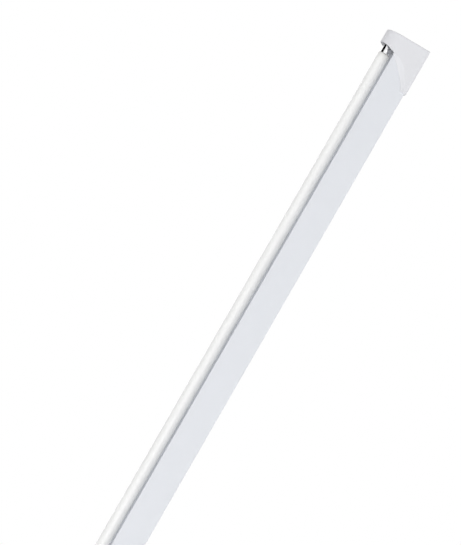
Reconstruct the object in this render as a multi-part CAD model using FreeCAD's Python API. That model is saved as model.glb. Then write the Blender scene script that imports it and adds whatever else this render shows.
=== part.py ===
"""Slim ceiling batten for one thin fluorescent tube, in millimetres.

X runs along the batten, Z points up to the ceiling and the lamp hangs below. The origin is the middle of
the ceiling plane. Depths are drops below that plane, and insets are distances inwards from the outer face
of an end cap.
"""

import FreeCAD, Part

import math
import os

V = FreeCAD.Vector

# Lamp
lamp_span = 1149.0
glass_radius = 8.0
glass_wall = 0.8
glass_shoulder = 2.0
metal_cap_radius = 6.5
metal_cap_length = 11.4
metal_cap_wall = 0.4
metal_cap_round = 0.8
insulator_radius = 4.6
insulator_thickness = 1.6
pin_radius = 1.19
pin_spacing = 4.75
pin_length = 7.1
pin_root = 5.2
stem_radius = 3.2
stem_length = 22.0
stem_wire_radius = 0.35
stem_wire_length = 9.0
cathode_radius = 0.7

# End cap
cap_width = 40.0
cap_length = 64.6
cap_wall = 2.0
cap_end_round = 1.4
cap_edge_round = 1.2
cap_bevel = 4.0
cap_bevel_depth = 1.7
cap_rib = 1.6
cap_rib_length = 11.0
cap_rib_height = 17.0
pin_gate_room = 1.3
horn_gap = 0.9
horn_lip = 0.9
horn_lip_run = 3.0

# Rim of the cap's side, as shares of the cap's length and height: each knee ends one arc
rim_knee_shares = [(0.404, 0.566), (0.760, 0.180)]
rim_tip_shares = (0.975, 0.090)
rim_lean_shares = (0.14, 1.0)
rim_bevel_shares = [(0.95, 0.60), (1.20, 0.90), (0.37, 0.93)]

# Spine and cover
sheet = 0.6
spine_height = 38.0
lamp_gap = 0.5
spine_bend = 1.5
hem_height = 2.6
cover_recess = 3.6
cover_lip = 2.4
cover_end_gap = 1.5
fixing_inset = 28.0
slot_width = 5.0
slot_length = 12.0

# Lamp position
lamp_inset = 18.5

# Cable entries
entry_radius = 10.0
entry_run = 57.0
spare_entry_inset = 122.0
grommet_bore_radius = 4.5
entry_lip = 1.5
entry_lip_outside = 0.6
grommet_inside = 3.0
plug_dish = 1.0

# Lampholder
holder_room = 0.5
holder_setback = 2.5
holder_height = 17.1
chamber_room = 1.4
rotor_radius = 6.5
rotor_flange_radius = 7.4
rotor_length = 2.8
rotor_flange = 1.0
gate_width = 3.0
contact_sheet = 0.5
holder_wire_depth = 4.5
holder_wire_room = 3.5

# Cover fasteners and bridges
fastener_pitch = 560.0
fastener_head_radius = 6.2
fastener_head = 1.2
fastener_shank_radius = 2.4
fastener_wing_length = 12.0
fastener_wing_width = 4.0
fastener_wing = 1.5
driver_slot_width = 1.2
driver_slot_depth = 0.7
bridge_sheet = 1.0
bridge_width = 22.0
bridge_tab = 8.0
bridge_slot_length = 14.0
bridge_slot_width = 5.4

# Mains terminal block
terminal_length = 26.0
terminal_wall = 2.2
terminal_height = 18.0
pole_pitch = 8.5
wire_hole_height = 8.8
supply_hole_radius = 1.8
clamp_pocket_length = 14.0
clamp_pocket_width = 5.6
clamp_pocket_height = 5.4
clamp_sheet = 0.8
button_side = 4.6
button_stand = 2.2
button_depth = 5.0

# Ballast
spare_entry_run = 110.0
supply_run = 96.0
ballast_length = 280.0
ballast_width = 30.0
ballast_height = 21.0
ballast_tab = 11.0
ballast_sheet = 0.6
board_thickness = 1.6
board_stand = 5.8
board_margin = 1.2
choke_size = (24.0, 20.0, 12.0)
choke_place_share = -0.12
capacitor_radius = 5.0
capacitor_length = 22.0
capacitor_place_shares = [0.10, 0.22]
block_length = 14.0
block_width = 24.0
block_height = 9.0
block_proud = 3.0
block_hole_shares = [-0.38, -0.19, 0.19, 0.38]

# Wires, clips and earth
wire_radius = 1.0
wire_bend = 9.0
loom_wall_gap = 1.6
loom_rise = 6.5
loom_gap = 0.6
loom_join = 48.0
loom_leave = 42.0
end_rise = 20.0
run_out = 14.0
sags = [1.5, -1.0]
share_of_run = 0.45
clip_inset = 92.0
clip_run = 18.0
clip_pitch = 110.0
clip_length = 9.0
clip_wall = 0.9
earth_run = 51.0
earth_y = 10.0
earth_tag_radius = 4.0
earth_tag_sheet = 0.8
screw_head_radius = 3.2
screw_head = 1.8
screw_shank_radius = 1.5
screw_length = 6.0
collar_wall = 0.9
collar_height = 1.5
cap_screw_inset = 46.0

# Clearances
seat_gap = 0.1
slide_gap = 0.2
turn_gap = 0.05
loose_gap = 0.3
overrun = 5.0

# Sizes that follow
half_length = lamp_span / 2 + lamp_inset
half_cap = cap_width / 2
spine_half = half_cap - cap_wall - seat_gap
spine_back_drop = cap_wall + seat_gap
spine_floor_drop = spine_back_drop + sheet
spine_inside = spine_half - sheet
spine_inset = cap_wall + loose_gap
spine_edge_drop = spine_back_drop + spine_height
lamp_drop = spine_edge_drop + lamp_gap + glass_radius
horn_axis_drop = spine_edge_drop + horn_gap
cap_height = horn_axis_drop + half_cap
horn_length = lamp_inset - slide_gap
cover_drop = spine_edge_drop - cover_recess
cover_inset = lamp_inset + cover_end_gap
bridge_drop = cover_drop - sheet
holder_radius = cap_height - cap_wall - holder_room - lamp_drop
holder_top_drop = lamp_drop - holder_height
holder_split_inset = lamp_inset - pin_length - chamber_room
holder_wire_inset = cap_wall + holder_wire_room
holder_face_inset = lamp_inset - holder_setback
rotor_back_inset = holder_face_inset - rotor_length
contact_top_drop = holder_top_drop + holder_wire_depth
pin_offset = pin_spacing / 2
pin_reach = pin_offset + pin_radius
contact_y = pin_reach + loose_gap
wire_hole_radius = wire_radius + seat_gap
wire_hole_drop = spine_floor_drop + wire_hole_height
terminal_width = 2 * (pole_pitch + terminal_wall) + clamp_pocket_width
half_ballast = ballast_length / 2
spare_entry_x = half_length - spare_entry_inset
ballast_x = spare_entry_x - spare_entry_run - ballast_tab - half_ballast
terminal_face = ballast_x - half_ballast - supply_run
terminal_x = terminal_face - terminal_length / 2
entry_x = terminal_face - terminal_length - entry_run
earth_x = terminal_face + earth_run
board_drop = spine_floor_drop + board_stand
loom_low = bridge_drop - bridge_sheet - loom_rise
loom_drops = [loom_low - 2 * wire_radius - loom_gap, loom_low]
loom_y = spine_inside - loom_wall_gap - wire_radius


def box(x0, x1, y0, y1, top_drop, low_drop):
    """Block between two x, two y and two drops below the ceiling plane."""
    return Part.makeBox(x1 - x0, y1 - y0, low_drop - top_drop, V(x0, y0, -low_drop))


def rod_x(radius, x0, x1, y, drop):
    """Round bar along X."""
    return Part.makeCylinder(radius, x1 - x0, V(x0, y, -drop), V(1, 0, 0))


def rod_z(radius, x, y, top_drop, low_drop):
    """Round bar along Z between two drops."""
    return Part.makeCylinder(radius, low_drop - top_drop, V(x, y, -low_drop))


def slot_z(length, width, x, y, top_drop, low_drop):
    """Slot with round ends, its length along X."""
    straight = (length - width) / 2
    body = box(x - straight, x + straight, y - width / 2, y + width / 2, top_drop, low_drop)
    for side in (-1, 1):
        body = body.fuse(rod_z(width / 2, x + side * straight, y, top_drop, low_drop))
    return body.removeSplitter()


def cut_all(shape, tools):
    """Shape less each of the tools."""
    for tool in tools:
        shape = shape.cut(tool)
    return shape


def fuse_all(shapes):
    """One solid made of touching shapes."""
    whole = shapes[0]
    for shape in shapes[1:]:
        whole = whole.fuse(shape)
    return whole.removeSplitter()


def edges_where(shape, test):
    """Edges whose two ends and middle all pass a test on their place."""
    found = []
    for edge in shape.Edges:
        first, last = edge.ParameterRange
        places = [edge.valueAt(first), edge.valueAt((first + last) / 2), edge.valueAt(last)]
        if all(test(place) for place in places):
            found.append(edge)
    return found


def at_left(shape):
    """Shape drawn by insets from x = 0, moved to the left end."""
    return shape.translated(V(-half_length, 0, 0))


def at_right(shape):
    """The same shape mirrored to the right end."""
    return at_left(shape).mirror(V(0, 0, 0), V(1, 0, 0))


def export(name, shapes):
    """Write one node."""
    solids = shapes if isinstance(shapes, list) else [shapes]
    whole = solids[0] if len(solids) == 1 else Part.makeCompound(solids)
    whole.exportStep(os.path.join("parts", name + ".step"))


def export_ends(name, shape):
    """Write the left and the right copy of a piece drawn by insets."""
    export(name + "_left", at_left(shape))
    export(name + "_right", at_right(shape))


def tangent_arc(start, heading, end):
    """Arc that leaves start along heading and ends at end, and the heading that it has there."""
    along = end - start
    span = along.Length
    along.normalize()
    normal = heading - along * heading.dot(along)
    turn = math.atan2(normal.Length, heading.dot(along))
    normal.normalize()
    middle = (start + end) * 0.5 + normal * (math.tan(turn / 2) * span / 2)
    return Part.Arc(start, middle, end).toShape(), along * (2 * heading.dot(along)) - heading


def wire_path(points, bend):
    """Straight runs through the points, joined by tangent arcs."""
    edges = []
    last = points[0]
    for before, corner, after in zip(points, points[1:], points[2:]):
        back, ahead = before - corner, after - corner
        half_turn = (math.pi - back.getAngle(ahead)) / 2
        reach = min(bend * math.tan(half_turn), share_of_run * min(back.Length, ahead.Length))
        radius = reach / math.tan(half_turn)
        back.normalize()
        ahead.normalize()
        inward = back + ahead
        inward.normalize()
        middle = corner + inward * (radius / math.cos(half_turn) - radius)
        enter, leave = corner + back * reach, corner + ahead * reach
        edges.append(Part.LineSegment(last, enter).toShape())
        edges.append(Part.Arc(enter, middle, leave).toShape())
        last = leave
    edges.append(Part.LineSegment(last, points[-1]).toShape())
    return Part.Wire(edges)


def wire_tube(name, places, bend):
    """Insulated wire along a route of (x, y, drop) places."""
    points = [V(x, y, -drop) for x, y, drop in places]
    path = wire_path(points, bend)
    ring = Part.Wire(Part.makeCircle(wire_radius, points[0], points[1] - points[0]))
    tube = path.makePipeShell([ring], True, False)
    plain = math.pi * wire_radius ** 2 * path.Length
    print(name, "length", round(path.Length, 1), "volume share", round(tube.Volume / plain, 4))
    return tube


# Lamp


def lamp_glass():
    """Closed glass tube with a rounded shoulder and a narrow neck at each end."""
    shoulder = lamp_inset + metal_cap_length - half_length
    neck_radius = metal_cap_radius - metal_cap_wall - seat_gap
    neck_end = shoulder - metal_cap_length / 2

    def vessel(wall):
        bulb = rod_x(glass_radius - wall, shoulder + wall, -shoulder - wall, 0, lamp_drop)
        ends = edges_where(bulb, lambda p: abs(abs(p.x) + shoulder + wall) < seat_gap)
        bulb = bulb.makeFillet(glass_shoulder - wall, ends)
        return bulb.fuse(rod_x(neck_radius - wall, neck_end + wall, -neck_end - wall, 0, lamp_drop))

    return vessel(0).cut(vessel(glass_wall)).removeSplitter()


def lamp_cap():
    """Metal cap with a round edge and a seat for the insulator."""
    end = lamp_inset + metal_cap_length
    shell = rod_x(metal_cap_radius, lamp_inset, end, 0, lamp_drop)
    rim = edges_where(shell, lambda p: abs(p.x - lamp_inset) < seat_gap)
    shell = shell.makeFillet(metal_cap_round, rim)
    hollow = rod_x(metal_cap_radius - metal_cap_wall, lamp_inset + metal_cap_wall, end, 0, lamp_drop)
    seat = rod_x(insulator_radius, lamp_inset - overrun, end, 0, lamp_drop)
    return cut_all(shell, [hollow, seat])


def lamp_insulator():
    """Disc that carries the two pins."""
    disc = rod_x(insulator_radius, lamp_inset, lamp_inset + insulator_thickness, 0, lamp_drop)
    ends = (lamp_inset - overrun, lamp_inset + overrun)
    return cut_all(disc, [rod_x(pin_radius, *ends, y, lamp_drop) for y in (-pin_offset, pin_offset)])


def lamp_pins():
    """Two contact pins, side by side while the lamp is locked."""
    pins = []
    for y in (-pin_offset, pin_offset):
        pin = rod_x(pin_radius, lamp_inset - pin_length, lamp_inset + pin_root, y, lamp_drop)
        tip = edges_where(pin, lambda p: abs(p.x - lamp_inset + pin_length) < seat_gap)
        pins.append(pin.makeFillet(pin_radius / 2, tip))
    return pins


def lamp_stem():
    """Glass stem that stands on the neck's closed end."""
    foot = lamp_inset + metal_cap_length / 2 + glass_wall
    return rod_x(stem_radius, foot, foot + stem_length, 0, lamp_drop)


def lamp_cathode():
    """Two support wires with the cathode coil's envelope across them."""
    foot = lamp_inset + metal_cap_length / 2 + glass_wall + stem_length
    tip = foot + stem_wire_length
    place = stem_radius - 2 * stem_wire_radius
    legs = [rod_x(stem_wire_radius, foot, tip, y, lamp_drop) for y in (-place, place)]
    coil = Part.makeCylinder(cathode_radius, 2 * place, V(tip, -place, -lamp_drop), V(0, 1, 0))
    return fuse_all(legs + [coil])


# End cap


def cap_block(wall, start, end):
    """Bar with the end cap's section, drawn in by a wall: flat back and sides, half round lamp side."""
    half = half_cap - wall
    back, spring = -wall, -horn_axis_drop
    corners = [V(start, -half, spring), V(start, -half, back), V(start, half, back), V(start, half, spring)]
    edges = [Part.LineSegment(a, b).toShape() for a, b in zip(corners, corners[1:])]
    edges.append(Part.Arc(corners[-1], V(start, 0, spring - half), corners[0]).toShape())
    return Part.Face(Part.Wire(edges)).extrude(V(end - start, 0, 0))


def rim_region(bevel, y):
    """Outline at y of what lies beyond the cap's rim, which steps outwards by the bevel's shares."""

    def rim_place(shares, step_shares):
        along = cap_length * shares[0] + bevel * step_shares[0]
        return V(along, y, -cap_height * shares[1] - bevel * step_shares[1])

    knees = [rim_place(*pair) for pair in zip(rim_knee_shares + [rim_tip_shares], rim_bevel_shares)]
    apex = V(horn_length, y, -cap_height)
    far, low, high = cap_length + 2 * overrun, -cap_height - overrun, overrun
    edges = [Part.LineSegment(V(horn_length, y, low), apex).toShape()]
    start, heading = apex, V(rim_lean_shares[0], 0, rim_lean_shares[1])
    heading.normalize()
    for knee in knees:
        arc, heading = tangent_arc(start, heading, knee)
        edges.append(arc)
        start = knee
    corners = [start, V(start.x, y, high), V(far, y, high), V(far, y, low), V(horn_length, y, low)]
    edges += [Part.LineSegment(a, b).toShape() for a, b in zip(corners, corners[1:])]
    return Part.Wire(edges)


def end_cap():
    """Moulded cap: horn round the lamp's end, sides that sweep back over the spine, lampholder ribs."""
    shell = cap_block(0, 0, cap_length)
    back_edges = edges_where(shell, lambda p: abs(p.z) < seat_gap and abs(abs(p.y) - half_cap) < seat_gap)
    shell = shell.makeFillet(cap_edge_round, back_edges)
    end_edges = edges_where(shell, lambda p: abs(p.x) < seat_gap)
    shell = shell.makeFillet(cap_end_round, end_edges)
    shell = shell.cut(cap_block(cap_wall, cap_wall, cap_length + overrun))
    inner = half_cap - cap_bevel_depth
    middle = Part.Face(rim_region(cap_bevel, -inner)).extrude(V(0, 2 * inner, 0))
    bevels = [
        Part.makeLoft([rim_region(0, side * half_cap), rim_region(cap_bevel, side * inner)], True, True)
        for side in (-1, 1)
    ]
    shell = cut_all(shell, [middle, horn_mouth()] + bevels)
    ribs = []
    for side in (-1, 1):
        near = side * (holder_radius + seat_gap)
        far = near + side * cap_rib
        low = lamp_drop + cap_rib_height / 4
        ribs.append(box(cap_wall, cap_wall + cap_rib_length, min(near, far), max(near, far),
                        low - cap_rib_height, low))
    shell = fuse_all([shell] + ribs)
    gate = box(lamp_inset - pin_length - pin_gate_room, cap_length, -gate_width / 2, gate_width / 2,
               cap_height - 2 * cap_wall, cap_height + overrun)
    return cut_all(shell, [gate, rod_z(screw_shank_radius + turn_gap, cap_screw_inset, 0, -overrun, overrun),
                           sunk_head(cap_screw_inset, seat_gap),
                           slot_z(slot_length, slot_width, fixing_inset, 0, -overrun, overrun)])


def horn_mouth():
    """Flare that thins the horn's wall from inside towards its mouth."""
    inner, lip = half_cap - cap_wall, half_cap - horn_lip
    start = V(horn_length - horn_lip_run, 0, -horn_axis_drop)
    flare = Part.makeCone(inner, lip, horn_lip_run, start, V(1, 0, 0))
    flare = flare.fuse(rod_x(lip, horn_length, cap_length, 0, horn_axis_drop))
    return flare.common(box(0, cap_length, -half_cap, half_cap, horn_axis_drop, cap_height))


def sunk_head(x, room):
    """Cone of a countersunk head, flush with the ceiling plane, with room around it."""
    return Part.makeCone(screw_shank_radius, screw_head_radius + room, screw_head, V(x, 0, -screw_head))


def end_cap_screw():
    """Countersunk screw from the back into the spine's collar."""
    screw = sunk_head(cap_screw_inset, 0).fuse(
        rod_z(screw_shank_radius, cap_screw_inset, 0, screw_head, screw_head + screw_length))
    arm, bar = screw_head_radius / 2, driver_slot_width / 2
    cross = box(cap_screw_inset - arm, cap_screw_inset + arm, -bar, bar, -overrun, driver_slot_depth)
    across = box(cap_screw_inset - bar, cap_screw_inset + bar, -arm, arm, -overrun, driver_slot_depth)
    return cut_all(screw, [cross, across]).removeSplitter()


# Lampholder


def holder_block(start, end):
    """Bar with the lampholder's section: round below the lamp's axis, straight above it."""
    round_part = rod_x(holder_radius, start, end, 0, lamp_drop)
    straight = box(start, end, -holder_radius, holder_radius, holder_top_drop, lamp_drop)
    return round_part.fuse(straight).removeSplitter()


def contact_slots(start, end, top, low):
    """Room for the two contact strips."""
    near, far = contact_y - slide_gap, contact_y + contact_sheet + slide_gap
    return [box(start, end, min(s * near, s * far), max(s * near, s * far), top, low) for s in (-1, 1)]


def lampholder_front():
    """Front housing with the rotor's bore, the chamber behind it and the gate for the pins."""
    face = holder_face_inset
    ledge = rotor_back_inset + rotor_flange + turn_gap
    slots = contact_slots(holder_split_inset - overrun, rotor_back_inset, contact_top_drop - slide_gap,
                          lamp_drop)
    return cut_all(holder_block(holder_split_inset, face), [
        rod_x(rotor_radius + turn_gap, holder_split_inset, face + overrun, 0, lamp_drop),
        rod_x(rotor_flange_radius + slide_gap, holder_split_inset - overrun, ledge, 0, lamp_drop),
        box(holder_split_inset - overrun, face + overrun, -gate_width / 2, gate_width / 2,
            lamp_drop, cap_height),
    ] + slots)


def lampholder_back():
    """Back cover with a hole for each wire and room for each contact's foot."""
    block = holder_block(cap_wall + seat_gap, holder_split_inset)
    foot_end = holder_wire_inset - wire_hole_radius - slide_gap
    slots = contact_slots(foot_end, holder_split_inset + overrun, contact_top_drop - slide_gap,
                          contact_top_drop + contact_sheet + slide_gap)
    holes = [rod_z(wire_hole_radius, holder_wire_inset, s * contact_middle_y(), holder_top_drop - overrun,
                   contact_top_drop) for s in (-1, 1)]
    return cut_all(block, slots + holes)


def contact_middle_y():
    """Distance of a contact strip's middle from the lamp's axis."""
    return contact_y + contact_sheet / 2


def lampholder_contacts():
    """Two bent strips: a blade beside each pin's tip, and a foot under each wire."""
    start, end = lamp_inset - pin_length + slide_gap, rotor_back_inset - seat_gap
    strips = []
    for side in (-1, 1):
        near, far = sorted((side * contact_y, side * (contact_y + contact_sheet)))
        blade = box(start, end, near, far, contact_top_drop, lamp_drop + pin_reach)
        foot = box(holder_wire_inset - wire_radius, end, near, far, contact_top_drop,
                   contact_top_drop + contact_sheet)
        strips.append(blade.fuse(foot).removeSplitter())
    return strips


def lampholder_rotor():
    """Drum that the lamp turns, with a slot that takes both pins from its open side."""
    face = holder_face_inset
    drum = rod_x(rotor_radius, rotor_back_inset, face, 0, lamp_drop).fuse(
        rod_x(rotor_flange_radius, rotor_back_inset, rotor_back_inset + rotor_flange, 0, lamp_drop))
    half = gate_width / 2
    ends = (rotor_back_inset - overrun, face + overrun)
    slot = box(*ends, -2 * rotor_radius, pin_offset, lamp_drop - half, lamp_drop + half)
    return cut_all(drum, [slot, rod_x(half, *ends, pin_offset, lamp_drop)]).removeSplitter()


# Spine, cover and what holds the cover


def spine_channel():
    """Folded channel, open to the lamp, with hems, ceiling slots, cable entries and screw collars."""
    end = half_length - spine_inset
    block = box(-end, end, -spine_half, spine_half, spine_back_drop, spine_edge_drop)
    bends = edges_where(block, lambda p: abs(p.z + spine_back_drop) < seat_gap
                        and abs(abs(p.y) - spine_half) < seat_gap)
    block = block.makeFillet(spine_bend, bends)
    room = box(-end - overrun, end + overrun, -spine_inside, spine_inside,
               spine_floor_drop, spine_edge_drop + overrun)
    folds = edges_where(room, lambda p: abs(p.z + spine_floor_drop) < seat_gap
                        and abs(abs(p.y) - spine_inside) < seat_gap)
    channel = block.cut(room.makeFillet(spine_bend - sheet, folds))
    pieces = [channel]
    for side in (-1, 1):
        near, far = sorted((side * (spine_inside - sheet), side * spine_inside))
        pieces.append(box(-end, end, near, far, spine_edge_drop - hem_height, spine_edge_drop))
        pieces.append(rod_z(screw_shank_radius + turn_gap + collar_wall,
                            side * (half_length - cap_screw_inset), 0,
                            spine_back_drop, spine_floor_drop + collar_height))
    tools = []
    for side in (-1, 1):
        tools.append(slot_z(slot_length, slot_width, side * (half_length - fixing_inset), 0, -overrun,
                            overrun))
        tools.append(rod_z(screw_shank_radius + turn_gap, side * (half_length - cap_screw_inset), 0,
                           -overrun, 2 * overrun))
        tools.append(rod_z(entry_radius, side * spare_entry_x, 0, -overrun, overrun))
        tools.append(rod_z(screw_shank_radius + turn_gap, ballast_x + side * ballast_screw_reach(), 0,
                           -overrun, overrun))
    tools.append(rod_z(entry_radius, entry_x, 0, -overrun, overrun))
    tools.append(rod_z(screw_shank_radius + turn_gap, earth_x, earth_y, -overrun, overrun))
    return cut_all(fuse_all(pieces), tools)


def gear_cover():
    """Flat cover with small lips, which closes the spine between its walls."""
    end, half = half_length - cover_inset, spine_inside - sheet - slide_gap
    pieces = [box(-end, end, -half, half, bridge_drop, cover_drop)]
    for side in (-1, 1):
        near, far = sorted((side * (half - sheet), side * half))
        pieces.append(box(-end, end, near, far, bridge_drop, cover_drop + cover_lip))
    holes = [rod_z(fastener_shank_radius + turn_gap, side * fastener_pitch / 2, 0, 0, cap_height)
             for side in (-1, 1)]
    return cut_all(fuse_all(pieces), holes)


def cover_bridge(side):
    """Bridge between the spine's walls with a long slot for the fastener's wing."""
    x = side * fastener_pitch / 2
    low, high = x - bridge_width / 2, x + bridge_width / 2
    pieces = [box(low, high, -spine_inside, spine_inside, bridge_drop - bridge_sheet, bridge_drop)]
    for wall in (-1, 1):
        near, far = sorted((wall * (spine_inside - bridge_sheet), wall * spine_inside))
        pieces.append(box(low, high, near, far, bridge_drop - bridge_tab, bridge_drop))
    slot = slot_z(bridge_slot_length, bridge_slot_width, x, 0, 0, cap_height)
    return fuse_all(pieces).cut(slot)


def cover_fastener(side):
    """Quarter turn fastener: slotted head, shank and a wing that locks across the bridge's slot."""
    x = side * fastener_pitch / 2
    head_top = cover_drop + seat_gap
    wing_low = bridge_drop - bridge_sheet - loose_gap
    head = rod_z(fastener_head_radius, x, 0, head_top, head_top + fastener_head)
    rim = edges_where(head, lambda p: abs(p.z + head_top + fastener_head) < seat_gap)
    head = head.makeFillet(fastener_head / 2, rim)
    shank = rod_z(fastener_shank_radius, x, 0, wing_low - fastener_wing, head_top)
    half_width, half_span = fastener_wing_width / 2, fastener_wing_length / 2
    wing = box(x - half_width, x + half_width, -half_span, half_span, wing_low - fastener_wing, wing_low)
    groove = box(x - driver_slot_width / 2, x + driver_slot_width / 2, -2 * half_span, 2 * half_span,
                 head_top + fastener_head - driver_slot_depth, cap_height)
    return fuse_all([head, shank, wing]).cut(groove)


# Cable entries


def cable_grommet():
    """Rubber ring in the supply entry."""
    inside_end = spine_floor_drop + grommet_inside
    lip = entry_radius + entry_lip
    pieces = [
        rod_z(lip, entry_x, 0, spine_back_drop - entry_lip_outside, spine_back_drop),
        rod_z(entry_radius - seat_gap, entry_x, 0, spine_back_drop, spine_floor_drop),
        rod_z(lip, entry_x, 0, spine_floor_drop, inside_end),
    ]
    return fuse_all(pieces).cut(rod_z(grommet_bore_radius, entry_x, 0, -overrun, inside_end + overrun))


def blanking_plug(side):
    """Push-in plug: thin lip outside, hollow neck with a bead inside."""
    x = side * spare_entry_x
    neck = entry_radius - seat_gap
    neck_end = spine_floor_drop + grommet_inside
    bead = spine_floor_drop + seat_gap
    pieces = [
        rod_z(entry_radius + entry_lip, x, 0, spine_back_drop - entry_lip_outside, spine_back_drop),
        rod_z(neck, x, 0, spine_back_drop, neck_end),
        rod_z(neck + 2 * seat_gap, x, 0, bead, bead + plug_dish),
    ]
    return fuse_all(pieces).cut(rod_z(neck - plug_dish, x, 0, spine_floor_drop, neck_end + overrun))


# Mains terminal block


def pole_places():
    """The three poles across the block: live, neutral, earth."""
    return [-pole_pitch, 0, pole_pitch]


def terminal_block():
    """Block on the spine's floor with a wire hole each side, a pocket and a button shaft for each pole."""
    low_end = spine_floor_drop + terminal_height
    half = terminal_length / 2
    body = box(terminal_x - half, terminal_x + half, -terminal_width / 2, terminal_width / 2,
               spine_floor_drop, low_end)
    edges = edges_where(body, lambda p: abs(p.z + low_end) < seat_gap)
    body = body.makeChamfer(clamp_sheet, edges)
    half_pocket, half_shaft = clamp_pocket_length / 2, button_side / 2 + seat_gap
    pocket_top = wire_hole_drop - clamp_pocket_height / 2
    pocket_low = wire_hole_drop + clamp_pocket_height / 2
    tools = []
    for y in pole_places():
        tools += [
            box(terminal_x - half_pocket, terminal_x + half_pocket, y - clamp_pocket_width / 2,
                y + clamp_pocket_width / 2, pocket_top, pocket_low),
            box(terminal_x - half_shaft, terminal_x + half_shaft, y - half_shaft, y + half_shaft,
                wire_hole_drop, low_end + overrun),
            rod_x(wire_hole_radius, terminal_x, terminal_x + terminal_length, y, wire_hole_drop),
            rod_x(supply_hole_radius, terminal_x - terminal_length, terminal_x, y, wire_hole_drop),
        ]
    return cut_all(body, tools)


def terminal_clamps():
    """A clamp strip in each pocket, on two feet, that lies on the wire."""
    half_long = clamp_pocket_length / 2 - seat_gap
    half_wide = clamp_pocket_width / 2 - seat_gap
    top, low = wire_hole_drop - clamp_pocket_height / 2, wire_hole_drop - wire_radius
    clamps = []
    for y in pole_places():
        pieces = [box(terminal_x - half_long, terminal_x + half_long, y - half_wide, y + half_wide,
                      low - clamp_sheet, low)]
        for end in (terminal_x - half_long, terminal_x + half_long - clamp_sheet):
            pieces.append(box(end, end + clamp_sheet, y - half_wide, y + half_wide, top, low))
        clamps.append(fuse_all(pieces))
    return clamps


def release_button(y):
    """Button in its shaft, with a round edge on the end that a finger or a driver pushes."""
    face = spine_floor_drop + terminal_height + button_stand
    half = button_side / 2
    button = box(terminal_x - half, terminal_x + half, y - half, y + half,
                 face - button_stand - button_depth, face)
    edges = edges_where(button, lambda p: abs(p.z + face) < seat_gap)
    return button.makeFillet(button_side / 8, edges)


# Ballast


def ballast_screw_reach():
    """Distance of a ballast screw from the ballast's middle."""
    return half_ballast + ballast_tab / 2


def ballast_base():
    """Base plate with a tab and a screw hole at each end, and low side walls."""
    half = ballast_width / 2 - ballast_sheet
    reach = half_ballast + ballast_tab
    floor = spine_floor_drop + ballast_sheet
    pieces = [box(ballast_x - reach, ballast_x + reach, -half, half, spine_floor_drop, floor)]
    for side in (-1, 1):
        near, far = sorted((side * (half - ballast_sheet), side * half))
        pieces.append(box(ballast_x - half_ballast + ballast_sheet, ballast_x + half_ballast - ballast_sheet,
                          near, far, spine_floor_drop, board_drop))
    holes = [rod_z(screw_shank_radius + turn_gap, ballast_x + side * ballast_screw_reach(), 0, 0, overrun)
             for side in (-1, 1)]
    return cut_all(fuse_all(pieces), holes)


def ballast_lid():
    """Lid with four walls and a window for the terminals at each end."""
    half = ballast_width / 2
    low = spine_floor_drop + ballast_height
    top = spine_floor_drop + ballast_sheet
    lid = box(ballast_x - half_ballast, ballast_x + half_ballast, -half, half, top, low)
    folds = edges_where(lid, lambda p: abs(p.z + low) < seat_gap or abs(abs(p.x - ballast_x) - half_ballast)
                        < seat_gap and abs(abs(p.y) - half) < seat_gap)
    lid = lid.makeFillet(ballast_sheet, folds)
    room = box(ballast_x - half_ballast + ballast_sheet, ballast_x + half_ballast - ballast_sheet,
               -half + ballast_sheet, half - ballast_sheet, 0, low - ballast_sheet)
    window = box(ballast_x - 2 * half_ballast, ballast_x + 2 * half_ballast,
                 -block_width / 2 - slide_gap, block_width / 2 + slide_gap,
                 block_top() - slide_gap, block_top() + block_height + slide_gap)
    return cut_all(lid, [room, window])


def block_top():
    """Drop of the board's lamp side, which the parts stand on."""
    return board_drop + board_thickness


def ballast_board():
    """Circuit board on the base's walls."""
    half_long = half_ballast - ballast_sheet - board_margin
    half_wide = ballast_width / 2 - ballast_sheet - slide_gap
    return box(ballast_x - half_long, ballast_x + half_long, -half_wide, half_wide, board_drop, block_top())


def ballast_choke():
    """Wound choke: core block with a bobbin that stands out on both long sides."""
    length, width, height = choke_size
    x = ballast_x + ballast_length * choke_place_share
    core = box(x - length / 2, x + length / 2, -width / 3, width / 3, block_top(), block_top() + height)
    bobbin = box(x - length / 3, x + length / 3, -width / 2, width / 2,
                 block_top() + height / 8, block_top() + height * 7 / 8)
    return core.fuse(bobbin).removeSplitter()


def ballast_capacitors():
    """Lying capacitors on the board."""
    cans = []
    for share in capacitor_place_shares:
        x = ballast_x + ballast_length * share
        cans.append(rod_x(capacitor_radius, x - capacitor_length / 2, x + capacitor_length / 2, 0,
                          block_top() + capacitor_radius))
    return cans


def ballast_terminal(side):
    """Terminal block in the lid's window, with its row of wire holes."""
    face = lead_face(side)
    near, far = sorted((face, face - side * block_length))
    block = box(near, far, -block_width / 2, block_width / 2, block_top(), block_top() + block_height)
    hole_ends = sorted((face + side * overrun, ballast_hole_end(side)))
    holes = [rod_x(wire_hole_radius, *hole_ends, y, ballast_hole_drop()) for y in ballast_holes()]
    return cut_all(block, holes)


def ballast_hole_drop():
    """Drop of the row of wire holes."""
    return block_top() + block_height / 2


def ballast_hole_end(side):
    """X of the closed end of a terminal's wire holes."""
    return lead_face(side) - side * block_length / 2


def ballast_holes():
    """Places of the wire holes across a terminal."""
    return [block_width * share for share in block_hole_shares]


def pan_screw(x, y, seat):
    """Pan head screw driven up into the spine's floor."""
    head = rod_z(screw_head_radius, x, y, seat, seat + screw_head)
    rim = edges_where(head, lambda p: abs(p.z + seat + screw_head) < seat_gap)
    head = head.makeFillet(screw_head / 2, rim)
    shank = rod_z(screw_shank_radius, x, y, spine_back_drop - collar_wall, seat)
    arm, bar = screw_head_radius / 2, driver_slot_width / 2
    low = seat + screw_head
    cross = [box(x - arm, x + arm, y - bar, y + bar, low - driver_slot_depth, low + overrun),
             box(x - bar, x + bar, y - arm, y + arm, low - driver_slot_depth, low + overrun)]
    return cut_all(fuse_all([head, shank]), cross)


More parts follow.
